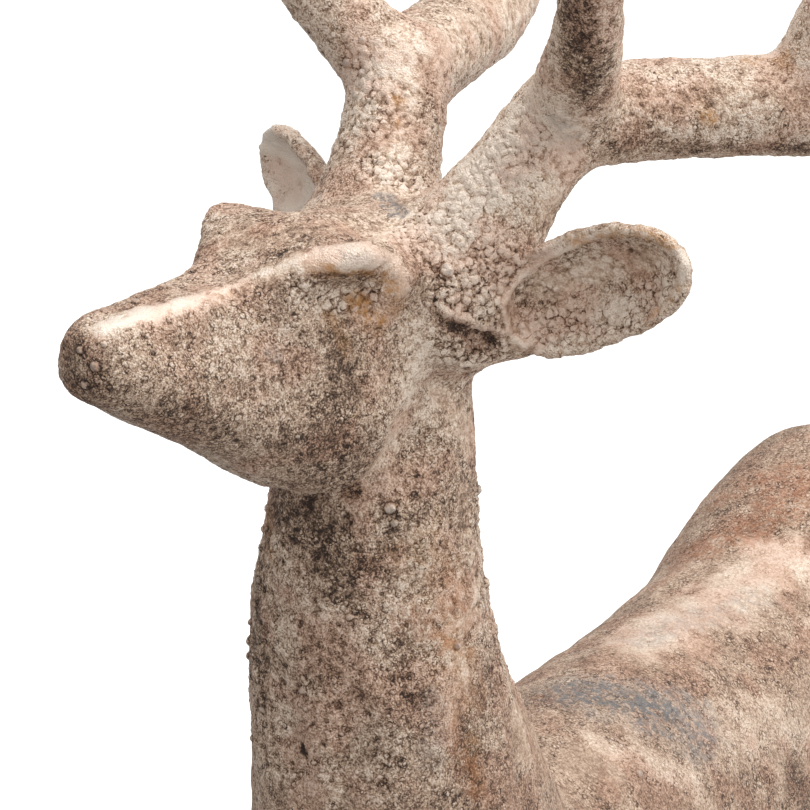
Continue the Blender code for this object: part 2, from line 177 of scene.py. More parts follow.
def split_long(points, faces, aim):
    """Halves each edge much longer than aim gives there. A new point rises to the round of the skin."""
    normals = normals_of(points, faces)
    edges, place = edges_of(faces)
    a, b = points[edges[:, 0]], points[edges[:, 1]]
    na, nb = normals[edges[:, 0]], normals[edges[:, 1]]
    middle = (a + b) / 2
    long = np.linalg.norm(b - a, axis=1) > SPLIT_OVER * aim(middle, na + nb)
    # Each end's own tangent plane says how high the skin stands at the middle
    lift = 0.5 * (np.sum((middle - a) * na, 1)[:, None] * na + np.sum((middle - b) * nb, 1)[:, None] * nb)
    length = np.linalg.norm(b - a, axis=1)
    rise = np.linalg.norm(lift, axis=1)
    held = np.minimum(1.0, MOST_RISE * length / np.maximum(rise, 1e-12))
    middle = middle - ROUNDING * lift * held[:, None]
    flat = (a[:, 2] < ON_FLOOR) & (b[:, 2] < ON_FLOOR)
    middle[flat, 2] = 0.0
    number = np.full(len(edges), -1)
    number[long] = len(points) + np.arange(long.sum())
    points = np.concatenate([points, middle[long]])
    cuts = number[place]
    made = []
    many = (cuts >= 0).sum(1)
    made.append(faces[many == 0])
    for k in range(3):
        one = (many == 1) & (cuts[:, k] >= 0)
        p, q, r = (faces[one, (k + i) % 3] for i in range(3))
        m = cuts[one, k]
        made += [np.stack([p, m, r], 1), np.stack([m, q, r], 1)]
        two = (many == 2) & (cuts[:, k] < 0)
        p, q, r = (faces[two, (k + i) % 3] for i in range(3))
        m, n = cuts[two, (k + 1) % 3], cuts[two, (k + 2) % 3]
        made.append(np.stack([n, m, r], 1))
        near = np.linalg.norm(points[p] - points[m], axis=1) < np.linalg.norm(points[q] - points[n], axis=1)
        made += [np.stack([p, q, m], 1)[near], np.stack([p, m, n], 1)[near]]
        made += [np.stack([p, q, n], 1)[~near], np.stack([q, m, n], 1)[~near]]
    three = many == 3
    p, q, r = (faces[three, i] for i in range(3))
    m, n, o = (cuts[three, i] for i in range(3))
    made += [np.stack(t, 1) for t in ((p, m, o), (m, q, n), (o, n, r), (m, n, o))]
    return points, np.concatenate(made), bool(long.any())


def turned_edges(points, faces, turns):
    """Swaps the shared edge of two nearly level faces wherever that leaves them less thin."""
    for _ in range(turns):
        edges, place = edges_of(faces)
        uses = np.bincount(place.ravel(), minlength=len(edges))
        order = np.argsort(place.ravel(), kind="stable")
        order = order[uses[place.ravel()[order]] == 2].reshape(-1, 2)
        one, other = order[:, 0] // 3, order[:, 1] // 3
        a, b, c = (faces[one, (order[:, 0] % 3 + k) % 3] for k in range(3))
        d = faces[other, (order[:, 1] % 3 + 2) % 3]
        pa, pb, pc, pd = points[a], points[b], points[c], points[d]
        cross_c, cross_d = np.cross(pa - pc, pb - pc), np.cross(pb - pd, pa - pd)
        size_c, size_d = np.linalg.norm(cross_c, axis=1), np.linalg.norm(cross_d, axis=1)
        flat = np.sum(cross_c * cross_d, 1) > LEVEL_COSINE * size_c * size_d
        cot = np.sum((pa - pc) * (pb - pc), 1) / (size_c + 1e-18)
        cot = cot + np.sum((pa - pd) * (pb - pd), 1) / (size_d + 1e-18)
        level = cross_c + cross_d
        new_one, new_two = np.cross(pa - pc, pd - pc), np.cross(pd - pc, pb - pc)
        fits = (np.sum(new_one * level, 1) > 0) & (np.sum(new_two * level, 1) > 0)
        count = int(faces.max()) + 1
        key = np.minimum(c, d).astype(np.int64) * count + np.maximum(c, d)
        known = np.isin(key, edges[:, 0] * count + edges[:, 1])
        wanted = np.nonzero(flat & fits & (cot < -1e-3) & ~known)[0]
        if not len(wanted):
            break
        score = -cot[wanted] + 1e-9 * np.arange(len(wanted))
        best = np.full(len(faces), -np.inf)
        np.maximum.at(best, one[wanted], score)
        np.maximum.at(best, other[wanted], score)
        chosen = wanted[(score == best[one[wanted]]) & (score == best[other[wanted]])]
        _, first = np.unique(key[chosen], return_index=True)
        chosen = chosen[first]
        faces = faces.copy()
        faces[one[chosen]] = np.stack([c[chosen], a[chosen], d[chosen]], 1)
        faces[other[chosen]] = np.stack([d[chosen], b[chosen], c[chosen]], 1)
    return faces


def averaged(values, edges, count):
    """For each point, the mean of values over its neighbours."""
    both = np.concatenate([edges, edges[:, ::-1]])
    number = np.maximum(np.bincount(both[:, 0], minlength=count), 1)
    if values.ndim == 1:
        return np.bincount(both[:, 0], values[both[:, 1]], count) / number
    columns = [np.bincount(both[:, 0], values[both[:, 1], k], count) / number for k in range(values.shape[1])]
    return np.stack(columns, 1)


def spread_out(points, faces, turns):
    """Moves points along the skin towards the middle of their neighbours, so that the faces are alike."""
    edges, _ = edges_of(faces)
    loose = (points[:, 2] > ON_FLOOR)[:, None]
    for _ in range(turns):
        normals = normals_of(points, faces)
        move = averaged(points, edges, len(points)) - points
        points = points + 0.5 * loose * (move - np.sum(move * normals, 1)[:, None] * normals)
    return points


def eased(points, faces, turns):
    """Evens out the facets of the solid without shrinking it, and leaves the underside flat."""
    edges, _ = edges_of(faces)
    loose = (points[:, 2] > ON_FLOOR)[:, None]
    for _ in range(turns):
        # A step in and a slightly longer step out, which keeps the volume
        for share in (0.5, -0.52):
            points = points + share * loose * (averaged(points, edges, len(points)) - points)
    return points


COARSE = packed_skin("stag")
SIGHT = BVHTree.FromPolygons(COARSE[0].tolist(), COARSE[1].tolist())


def seen(x, y):
    """The place on the solid that the picture shows at a pixel, or the nearest to it where it shows none."""
    scale = FIELD / PIXELS / DISTANCE
    way = -BACK + RIGHT * (x - PIXELS / 2) * scale - UP * (y - PIXELS / 2) * scale
    found = SIGHT.ray_cast(Vector(EYE), Vector(way))[0]
    if found is None:
        found = SIGHT.find_nearest(Vector(EYE + way * DISTANCE))[0]
    return np.array(found)


def away_from(points, line):
    """How far points are from a line of picture places, in pixels at the head."""
    spots = [seen(x, y) for x, y in line]
    nearest = np.full(len(points), np.inf)
    for start, end in zip(spots, spots[1:] or spots):
        run = end - start
        share = np.clip(((points - start) @ run) / max(run @ run, 1e-12), 0.0, 1.0)
        nearest = np.minimum(nearest, np.linalg.norm(points - start - share[:, None] * run, axis=1))
    return nearest / PIXEL


# Round beads of slag that stand on the skin: place in the picture and radius in pixels
BEADS = (
    (348, 62, 5.0), (363, 40, 4.0), (363, 73, 4.5), (357, 96, 4.5), (447, 270, 7.0), (390, 508, 6.0),
    (540, 698, 5.0), (136, 303, 4.5), (162, 288, 5.0), (96, 366, 5.5), (82, 350, 4.5),
    (104, 345, 4.0), (86, 384, 4.5), (470, 372, 4.0), (456, 645, 4.5), (304, 690, 4.5),
    (428, 622, 4.0), (345, 455, 4.0), (640, 572, 6.0), (638, 775, 5.0), (258, 604, 4.5),
    (252, 641, 5.5), (252, 656, 5.0), (258, 528, 4.5), (256, 546, 4.0), (254, 676, 4.5),
    (250, 712, 4.0), (486, 490, 6.0), (492, 592, 5.5), (266, 508, 4.0), (262, 580, 4.0),
    (252, 622, 4.0), (251, 690, 4.0), (252, 738, 4.0), (394, 523, 4.0), (350, 616, 4.5),
)


def bead_share(points):
    """1 close to a bead and 0 away from it."""
    share = np.zeros(len(points))
    for x, y, radius in BEADS:
        share = np.maximum(share, 1.0 - step(1.2, 1.9, away_from(points, [(x, y)]) / radius))
    return share


def bead_marks(points):
    """The beads themselves, and the dark ring round each."""
    ball, ring = np.zeros(len(points)), np.zeros(len(points))
    for x, y, radius in BEADS:
        away = away_from(points, [(x, y)]) / radius
        ball = np.maximum(ball, 1.0 - step(0.75, 0.95, away))
        ring = np.maximum(ring, step(0.8, 1.0, away) * (1.0 - step(1.1, 1.5, away)))
    return ball, ring


def head_share(points):
    """1 on the head and 0 below it."""
    return step(0.385, 0.41, points[:, 2])


def shown_share(points, normal):
    """1 where the picture shows the skin, and 0 where it faces away or lies outside the frame."""
    x, y = picture_place(points)
    facing = (normal @ BACK) / np.maximum(np.linalg.norm(normal, axis=1), 1e-12)
    share = step(-0.35, -0.05, facing)
    for place in (x, y):
        share = share * step(-60, -10, place)
    for place in (x, y):
        share = share * (1 - step(815, 860, place))
    return share


def fineness(middle, normal):
    """The wanted length of an edge: short where the picture looks closely, long on plain hidden skin."""
    z = middle[:, 2]
    head = head_share(middle)
    neck = step(0.30, 0.33, z) * (1 - step(-0.10, -0.07, middle[:, 1]))
    legs = step(0.16, 0.10, z) * step(0.014, 0.018, z)
    plain = HIDDEN_EDGE - HIDDEN_LEG_LESS * legs - HIDDEN_NECK_LESS * neck
    plain = np.where(z < 0.0001, UNDERSIDE_EDGE, plain)
    hidden = plain * (1 - head) + HIDDEN_HEAD_EDGE * head
    close = BODY_EDGE * (1 - neck) + NECK_EDGE * neck
    close = close * (1 - head) + HEAD_EDGE * head
    close = close + ANTLER_MORE * step(70, 110, -head_local(middle)[:, 0]) * head
    crusted = crust_share(middle)
    close = close * (1 - crusted) + CRUST_EDGE * crusted
    beaded = bead_share(middle)
    close = close * (1 - beaded) + BEAD_EDGE * beaded
    shown = shown_share(middle, normal)
    return (hidden * (1 - shown) + close * shown) * MM * DENSITY


# Crusts of coarse cracked lumps that the picture shows: a line of places and its reach, in pixels
CRUSTED = (
    ([(430, 232), (470, 250), (500, 275)], 44),
    ([(458, 208), (500, 164), (535, 132)], 30),
    ([(450, 290), (490, 310)], 30),
    ([(452, 352), (492, 352)], 20),
    ([(536, 330), (590, 326), (640, 306), (664, 284)], 25),
    ([(372, 168), (412, 182)], 24),
    ([(360, 60), (372, 120)], 16),
    ([(300, 292), (350, 305), (372, 290)], 15),
)

# The clean rim of the ear, which crosses the crusts
EAR_RIM = [(522, 346), (508, 330), (502, 306), (516, 282), (540, 262), (575, 243)]


def crust_share(points):
    """Where the casting is crusted: as the picture shows it, and the same places on the hidden side."""
    share = hidden_crust(points)
    for line, reach in CRUSTED:
        share = np.maximum(share, 1.0 - step(0.55, 1.15, away_from(points, line) / reach))
    return share * step(4, 8, away_from(points, EAR_RIM))


# The crusts on the side away from the camera: skull, antler's foot, ear and the ear's stalk. Middle and reach
# are in millimetres forward, right and up of the brow, and the last number is how sharply each ends
HIDDEN_CRUSTS = (
    ((-50, 16, -8), (15, 17, 17), 0.8),
    ((-54, 23, 8), (14, 12, 16), 0.9),
    ((-50, 53, -20), (12, 17, 11), 0.9),
    ((-42, 30, -22), (10, 10, 12), 0.9),
)


def hidden_crust(points):
    """Where the casting is crusted on the side away from the camera."""
    place = head_local(points)
    place[:, 1] = np.maximum(-place[:, 1], 0.0)
    share = np.zeros(len(points))
    for middle, reach, sharpness in HIDDEN_CRUSTS:
        away = np.sum(((place - middle) / reach) ** 2, axis=1)
        share = np.maximum(share, np.exp(-sharpness * away))
    return np.clip(share * 2.2 - 0.55, 0.0, 1.0)


def horn_share(points):
    """Where the picture's antlers and ears are, which are paler than the rest."""
    forward, left, up = head_local(points).T
    stems = step(-8, 6, up) * step(-34, -44, forward)
    ears = step(34, 42, np.abs(left)) * step(-30, -36, forward) * step(0.38, 0.4, points[:, 2])
    return np.maximum(stems, ears)


def fine_skin():
    """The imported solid's skin, refined and eased."""
    points, faces = COARSE
    faces = turned_edges(points, faces, 8)
    for _ in range(6):
        points, faces, more = split_long(points, faces, fineness)
        faces = turned_edges(points, faces, 4)
        points = spread_out(points, faces, 2)
        if not more:
            break
    faces = turned_edges(points, faces, 4)
    return eased(points, faces, 10), faces


# Ridges and hollows that the picture shows: a line of places, reach in pixels, height in millimetres
STROKES = (
    ([(106, 328), (150, 313), (200, 298), (240, 284), (275, 271), (303, 262)], 16, 0.35),
    ([(290, 266), (327, 256), (350, 252), (374, 257)], 30, 0.3),
    ([(374, 257), (394, 270), (401, 292), (396, 318)], 30, 0.4),
    ([(318, 286), (345, 288), (370, 300)], 26, -0.35),
    ([(328, 274), (342, 275)], 8, -0.3),
    ([(470, 384), (436, 424), (408, 462), (352, 492)], 20, -0.6),
    ([(352, 492), (310, 492), (276, 486)], 14, -0.6),
    ([(446, 312), (470, 319), (490, 325), (502, 332)], 8, 1.3),
    ([(454, 328), (472, 333), (490, 341)], 9, -1.2),
    ([(452, 358), (478, 366), (500, 356)], 10, 0.6),
    (EAR_RIM, 6, 0.6),
    ([(575, 243), (610, 231), (645, 231), (674, 242), (686, 264), (680, 288), (660, 318)], 7, 0.5),
    ([(540, 300), (590, 284), (645, 268)], 34, -1.3),
    ([(372, 396), (366, 450)], 44, 0.5),
    ([(182, 380), (181, 418)], 12, 0.4),
    ([(588, 150), (560, 188), (530, 212)], 26, 0.4),
    ([(600, 20), (597, 90)], 14, 0.35),
    ([(506, 694), (526, 745), (540, 806)], 26, 0.4),
    ([(598, 745), (640, 762), (690, 782)], 34, 0.4),
    ([(430, 540), (436, 640), (440, 740)], 30, 0.5),
    ([(318, 505), (322, 560)], 22, -0.5),
    ([(303, 747), (304, 750)], 5, -1.0),
)


def noise_at(points, size, octaves):
    """Fractal noise about 0, with features of that size in millimetres."""
    scale = 1.0 / (size * MM)
    return np.array([noise.fractal(Vector(p) * scale, 0.9, 2.1, octaves) for p in points])


def cells_at(points, size):
    """Cracked cells of that size in millimetres: the height on the dome, and the closeness to a crack."""
    dome, crack = np.empty(len(points)), np.empty(len(points))
    for i, p in enumerate(points):
        place = Vector(p) / (size * MM)
        place += 0.35 * noise.noise_vector(place * 0.9)
        (first, second, _, _), spots = noise.voronoi(place)
        # Each cell's own share of the full height, from 0 to 1, fixed by where its spot lies
        own = (math.sin(spots[0].x * 12.99 + spots[0].y * 78.23 + spots[0].z * 37.72) * 43758.5) % 1.0
        dome[i] = (0.45 + 0.9 * own) * max(0.0, 1.0 - first * first * 1.2)
        crack[i] = second - first
    return dome, 1.0 - step(0.02, 0.24, crack)


def spacing_of(points, faces):
    """The mean length in millimetres of the edges that meet at each point."""
    edges, _ = edges_of(faces)
    lengths = np.linalg.norm(points[edges[:, 0]] - points[edges[:, 1]], axis=1) / MM
    ends = np.concatenate([edges, edges[:, ::-1]])[:, 0]
    number = np.maximum(np.bincount(ends, minlength=len(points)), 1)
    return np.bincount(ends, np.tile(lengths, 2), len(points)) / number


def sculpted(points):
    """The height of the single strokes."""
    height = np.zeros(len(points))
    for line, reach, rise in STROKES:
        distance = away_from(points, line) / reach
        height += rise * np.clip(1.0 - distance**2, 0.0, 1.0) ** 2
    return height


def beaded(points):
    """The height of the beads."""
    height = np.zeros(len(points))
    for x, y, radius in BEADS:
        distance = away_from(points, [(x, y)]) / radius
        height = np.maximum(height, BEAD_HEIGHT * radius * np.sqrt(np.clip(1.0 - distance**2, 0.0, 1.0)))
    return height


def relief(points, faces):
    """The relief's height in millimetres, the share of crust, the closeness to cracks, and ragged noise."""
    spacing = spacing_of(points, faces)

    def shown(size):
        """How well the mesh's own spacing can show features of that size."""
        return 1.0 - step(0.38, 0.7, spacing / size)

    forward, _, up = head_local(points).T
    z = points[:, 2]
    head = head_share(points)
    on_neck = step(0.26, 0.32, z) * (1 - head) * step(-0.06, -0.10, points[:, 1])
    muzzle = head * step(20, 34, forward)
    antler = head * step(-14, 0, up) * step(-34, -46, forward)
    ragged = noise_at(points, RAGGED, 3)
    crust = crust_share(points)
    crust = np.clip(crust + 0.35 * ragged * (crust > 0.01), 0.0, 1.0)
    dome, crack = cells_at(points, LUMP)
    small_dome, small_crack = cells_at(points, PEBBLE)
    patches = step(-0.1, 0.35, noise_at(points, PATCHES, 3))
    pebbled = (0.35 + 0.65 * patches) * (1 - crust) * (1 + 1.4 * on_neck - 0.3 * muzzle)
    gritty = 1 + 1.3 * on_neck + 0.5 * antler - 0.35 * muzzle
    height = SWELL_HEIGHT * noise_at(points, SWELL, 3) * (1 - 0.6 * head)
    height += DENT_HEIGHT * noise_at(points, DENT, 3) * shown(DENT) * (1 - 0.5 * muzzle)
    height += GRIT_HEIGHT * noise_at(points, GRIT, 3) * shown(GRIT) * gritty
    height += shown(PEBBLE_SHOWN) * (PEBBLE_HEIGHT * small_dome - PEBBLE_CRACK * small_crack) * pebbled
    height += crust * shown(LUMP) * (LUMP_HEIGHT * dome - LUMP_CRACK * crack)
    height -= CRATER_DEPTH * step(0.45, 0.7, noise_at(points, CRATER, 2)) * shown(CRATER)
    # The base's bottom edge keeps the solid's line
    height = (height + sculpted(points)) * step(0.0, 0.004, z)
    bead = beaded(points)
    height = np.where(bead > 0, height * 0.6 + bead, height)
    return height, crust, crack * crust + 0.5 * small_crack * patches * (1 - crust), ragged


def raised_skin(points, faces, height):
    """The skin pushed out along its normals, with the underside left flat."""
    shaped = points + normals_of(points, faces) * height[:, None] * MM
    shaped[:, 2] = np.maximum(shaped[:, 2], 0.0)
    flat = points[:, 2] < ON_FLOOR
    shaped[flat] = points[flat]
    return shaped


# Where the patina changes, and where highlights and shade are painted into it: a line of places, reach in
# pixels, strength
MARKS = {
    # Dark: partly the patina's own darker patches, partly painted shade in hollows, under parts and on sides
    # turned from the light
    "dark": (
        ([(72, 348), (84, 396)], 34, 0.75),
        ([(96, 372), (150, 420)], 24, 0.5),
        # Painted shade along the lower cheek and jaw, where they turn under
        ([(180, 420), (290, 450), (350, 470)], 44, 0.4),
        # Painted shadow on the throat under the jaw
        ([(285, 510), (322, 545), (340, 560)], 46, 0.8),
        ([(300, 512), (318, 540)], 24, 1.0),
        ([(303, 747), (304, 750)], 6, 2.2),
        # Painted shade down the neck's edge on the side turned from the light
        ([(262, 560), (262, 660)], 18, 0.5),
        ([(270, 508), (262, 590), (256, 650)], 16, 0.6),
        ([(575, 8), (592, 100)], 30, 1.2),
        # Painted shade along the underside of the beam
        ([(620, 144), (700, 148), (800, 148)], 16, 0.8),
        ([(650, 106), (800, 100)], 30, 0.4),
        # Painted shade in the recess below the ear's root
        ([(454, 330), (492, 340)], 14, 0.8),
        ([(460, 344), (490, 350)], 20, 0.7),
        # Painted shade under the brow ridge
        ([(327, 273), (344, 275)], 9, 0.45),
        # Painted shade low on the jaw
        ([(300, 470), (360, 470)], 34, 0.35),
        # Painted shade where the flank turns away
        ([(795, 775), (805, 805)], 34, 0.45),
        ([(590, 110), (600, 150)], 22, 0.5),
        ([(330, 20), (342, 60)], 16, 0.45),
        ([(470, 700), (475, 790)], 26, 0.4),
        ([(330, 330), (352, 380), (330, 440)], 26, 0.4),
        ([(560, 330), (600, 330)], 20, 0.4),
        # Painted shadow inside the ear, under its rim
        ([(560, 266), (600, 250), (655, 250)], 15, 0.45),
    ),
    "ochre": (
        ([(356, 300), (378, 322)], 15, 1.0),
        ([(330, 269), (384, 274), (392, 290)], 9, 0.9),
        ([(390, 282), (394, 300)], 10, 0.7),
        ([(700, 106), (708, 118)], 9, 1.0),
        ([(398, 98), (402, 106)], 7, 1.0),
        ([(395, 120), (398, 124)], 6, 1.0),
        ([(271, 516), (273, 556)], 7, 1.0),
        ([(572, 241), (640, 232), (672, 246)], 9, 0.8),
        ([(650, 322), (682, 286)], 7, 0.6),
        ([(318, 268), (392, 280), (398, 310)], 14, 0.5),
        ([(440, 640), (470, 655)], 12, 0.8),
        ([(430, 560), (456, 620), (462, 700)], 44, 0.3),
        ([(268, 512), (266, 560)], 8, 0.8),
        ([(470, 740), (478, 790)], 14, 0.6),
        ([(745, 60), (790, 60)], 14, 0.5),
        ([(330, 320), (345, 350)], 12, 0.5),
    ),
    "rust": (
        ([(700, 552), (760, 520), (806, 492)], 46, 0.85),
        ([(720, 500), (790, 470)], 30, 0.7),
        ([(548, 700), (556, 706)], 12, 0.6),
        ([(655, 590), (690, 560)], 18, 0.6),
        ([(215, 245), (260, 228)], 16, 0.35),
        ([(410, 620), (460, 640)], 24, 0.5),
        ([(452, 570), (468, 640), (478, 700)], 26, 0.4),
        ([(450, 740), (480, 800)], 22, 0.6),
    ),
    "grey": (
        ([(575, 694), (630, 704), (690, 722)], 58, 1.1),
        ([(596, 700), (660, 712)], 34, 1.5),
        ([(384, 198), (398, 214)], 14, 1.2),
        ([(640, 640), (760, 600)], 30, 0.4),
        ([(270, 352), (276, 356)], 9, 0.7),
        ([(560, 120), (575, 135)], 22, 0.5),
        ([(430, 700), (435, 760)], 18, 0.4),
    ),
    # Pale: partly worn and paler patina, partly painted highlights and painted light
    "pale": (
        # Painted highlight along the muzzle's worn ridge
        ([(108, 326), (150, 311), (200, 297)], 20, 1.3),
        ([(200, 296), (250, 280), (300, 262)], 9, 0.6),
        # Painted highlight along the brow ridge
        ([(322, 258), (345, 254), (372, 256)], 20, 1.9),
        ([(270, 272), (322, 258)], 14, 0.7),
        ([(372, 256), (392, 268), (399, 288)], 17, 1.0),
        (EAR_RIM, 6, 0.35),
        # Painted light on the back edge of the jaw and the throat behind it
        ([(418, 330), (408, 390), (388, 440), (378, 480)], 26, 0.5),
        ([(440, 400), (450, 420)], 22, 0.3),
        ([(425, 545), (402, 615), (440, 630)], 26, 0.35),
        ([(614, 304), (624, 312)], 9, 1.6),
        ([(380, 240), (410, 236)], 22, 0.6),
        # Painted highlight on the top of the shoulder
        ([(610, 750), (690, 780)], 40, 0.3),
        # Painted light down the neck's lit side
        ([(452, 700), (456, 620), (448, 540)], 26, 0.4),
        ([(524, 262), (575, 238), (645, 230), (684, 258), (683, 280), (662, 308)], 6, 0.9),
        ([(640, 640), (780, 560)], 56, 0.8),
        ([(540, 350), (520, 340)], 16, 0.5),
        # Painted light on the far ear, which the lamps leave in shade
        ([(268, 140), (300, 195)], 60, 1.2),
        ([(700, 730), (800, 730)], 50, 0.5),
        ([(310, 300), (370, 310)], 26, 0.4),
        # Painted light on the lower half of the ear's hollow
        ([(545, 332), (620, 328)], 34, 0.4),
        ([(455, 215), (500, 165), (552, 110)], 64, 0.85),
        ([(320, 30), (370, 70)], 40, 0.6),
    ),
    "smooth": (
        ([(106, 328), (200, 298), (300, 262)], 18, 0.9),
        ([(320, 258), (384, 262), (396, 284)], 16, 0.5),
        (EAR_RIM, 7, 0.9),
        ([(230, 240), (300, 235), (400, 228)], 30, 0.6),
        ([(418, 330), (408, 390), (388, 440), (378, 480)], 24, 0.25),
        ([(446, 400), (470, 440)], 28, 0.8),
        ([(404, 40), (398, 120), (392, 190)], 30, 0.7),
        ([(430, 60), (530, 0)], 34, 0.7),
        ([(640, 100), (800, 92)], 30, 0.5),
        ([(575, 130), (560, 180), (545, 225)], 26, 0.7),
        ([(545, 290), (600, 268), (655, 260)], 22, 0.9),
        ([(500, 300), (520, 340)], 18, 0.8),
        ([(268, 140), (300, 195)], 34, 0.8),
        ([(520, 720), (600, 760)], 50, 0.8),
        ([(640, 650), (780, 560)], 70, 0.6),
        ([(455, 600), (460, 700)], 22, 0.5),
        ([(462, 495), (474, 560), (478, 620)], 18, 0.7),
    ),
}


def body_share(points):
    """1 below a plane that slants up from the foot of the neck to the rump, and 0 above it."""
    return 1.0 - step(0.30, 0.36, points[:, 2] - 0.4 * (points[:, 1] + 0.15))


def mark(points, ragged, name):
    """How strongly each point bears one kind of mark, with a ragged edge."""
    share = np.zeros(len(points))
    for line, reach, strength in MARKS[name]:
        distance = away_from(points, line) / reach + 0.45 * ragged
        share = np.maximum(share, strength * (1.0 - step(0.3, 1.1, distance)))
    return share


def patina_marks(points, faces, height, crust, crack, ragged):
    """Everything that the patina follows, and the painted highlights and shade, by name, with a number for each
    point.
    """
    edges, _ = edges_of(faces)
    level = height
    for _ in range(10):
        level = averaged(level, edges, len(points))
    marks = {name: mark(points, ragged, name) for name in MARKS}
    marks["crust"] = crust
    marks["cavity"] = np.clip((level - height) / 0.45 + 0.35 * crack, 0.0, 1.0)
    marks["raised"] = np.clip((height - level) / 0.25, 0.0, 1.0)
    marks["body"] = body_share(points)
    marks["horn"] = horn_share(points)
    ball, ring = bead_marks(points)
    marks["smooth"] = np.maximum(marks["smooth"], 1.1 * ball)
    marks["grey"] = np.maximum(marks["grey"], 0.7 * ball)
    marks["cavity"] = np.maximum(marks["cavity"] * (1 - ball), ring)
    return marks


def mesh_piece(name, points, faces, material):
    """A smooth-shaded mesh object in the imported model's frame."""
    mesh = bpy.data.meshes.new(name)
    mesh.vertices.add(len(points))
    mesh.vertices.foreach_set("co", points.astype(np.float32).ravel())
    mesh.loops.add(faces.size)
    mesh.loops.foreach_set("vertex_index", faces.astype(np.int32).ravel())
    mesh.polygons.add(len(faces))
    mesh.polygons.foreach_set("loop_start", np.arange(0, faces.size, 3, dtype=np.int32))
    mesh.update(calc_edges=True)
    mesh.shade_smooth()
    mesh.materials.append(material)
    made = bpy.data.objects.new(name, mesh)
    bpy.context.scene.collection.objects.link(made)
    return made


class Nodes:
    """Short calls that add shader nodes to a material."""

    def __init__(self, material):
        self.tree = material.node_tree
        self.coords = self.tree.nodes.new("ShaderNodeTexCoord").outputs["Object"]

    def put(self, socket, value):
        """Links a node's output to the socket, or sets a plain value on it."""
        if isinstance(value, bpy.types.NodeSocket):
            self.tree.links.new(value, socket)
        else:
            socket.default_value = value

    def math(self, kind, a, b=0.0, c=0.0):
        made = self.tree.nodes.new("ShaderNodeMath")
        made.operation = kind
        for socket, value in zip(made.inputs, (a, b, c)):
            self.put(socket, value)
        return made.outputs[0]

    def times(self, a, b):
        return self.math("MULTIPLY", a, b)

    def plus(self, base, amount, weight):
        """base + amount * weight"""
        return self.math("MULTIPLY_ADD", amount, weight, base)

    def ranged(self, value, low, high, to_low=0.0, to_high=1.0):
        """A smooth rise from to_low to to_high as the value goes from low to high."""
        made = self.tree.nodes.new("ShaderNodeMapRange")
        made.interpolation_type = "SMOOTHSTEP"
        names = ("Value", "From Min", "From Max", "To Min", "To Max")
        for name, amount in zip(names, (value, low, high, to_low, to_high)):
            self.put(made.inputs[name], amount)
        return made.outputs["Result"]

    def mark(self, name):
        made = self.tree.nodes.new("ShaderNodeAttribute")
        made.attribute_name = name
        return made.outputs["Fac"]

    def noise(self, size, detail, rough, output="Fac"):
        made = self.tree.nodes.new("ShaderNodeTexNoise")
        self.put(made.inputs["Vector"], self.coords)
        made.inputs["Scale"].default_value = 1.0 / (size * MM)
        made.inputs["Detail"].default_value = detail
        made.inputs["Roughness"].default_value = rough
        return made.outputs[output]

    def warped(self, size, reach):
        """The coordinates, pushed about by noise of that size by up to reach millimetres."""
        push = self.tree.nodes.new("ShaderNodeVectorMath")
        push.operation = "MULTIPLY_ADD"
        self.put(push.inputs[0], self.noise(size, 1, 0.5, "Color"))
        push.inputs[1].default_value = (2 * reach * MM,) * 3
        self.put(push.inputs[2], self.coords)
        return push.outputs[0]

    def cells(self, coords, size, feature="F1"):
        """Cells of that size in millimetres."""
        made = self.tree.nodes.new("ShaderNodeTexVoronoi")
        made.feature = feature
        self.put(made.inputs["Vector"], coords)
        made.inputs["Scale"].default_value = 1.0 / (size * MM)
        return made.outputs

    def pebbles(self, coords, size):
        """Round pebbles on some of the cells of that size, and the dark gap round each."""
        cell = self.cells(coords, size)
        kept = self.ranged(cell["Color"], 0.5, 0.62)
        away = cell["Distance"]
        dome = self.times(self.ranged(away, 0.1, 0.4, 1.0, 0.0), kept)
        gap = self.times(self.ranged(away, 0.28, 0.42), self.ranged(away, 0.46, 0.62, 1.0, 0.0))
        return dome, self.times(gap, kept)

    def mix(self, share, a, b, kind="MIX"):
        made = self.tree.nodes.new("ShaderNodeMix")
        made.data_type = "RGBA"
        made.blend_type = kind
        for index, value in ((0, share), (6, a), (7, b)):
            self.put(made.inputs[index], value)
        return made.outputs[2]

    def ramp(self, value, stops):
        made = self.tree.nodes.new("ShaderNodeValToRGB")
        elements = made.color_ramp.elements
        while len(elements) < len(stops):
            elements.new(0.5)
        for element, (place, colour) in zip(elements, stops):
            element.position = place
            element.color = colour
        self.put(made.inputs["Fac"], value)
        return made.outputs["Color"]


def tint(red, green, blue):
    """A colour given as the eye names it, 0 to 255, in the renderer's linear scale."""
    shares = (red / 255.0, green / 255.0, blue / 255.0)
    return tuple(((share + 0.055) / 1.055) ** 2.4 for share in shares) + (1.0,)


# The patina's noises: size in millimetres, octaves, roughness
GRAIN = (0.8, 3, 0.75)
SHARP = (0.5, 1, 0.6)
FLECK = (2.0, 3, 0.66)
MOTTLE = (6.5, 3, 0.6)
CLOUD = (30, 2, 0.6)
BLUSH = (14, 1, 0.5)
PATCHY = (2.6, 4, 0.7)

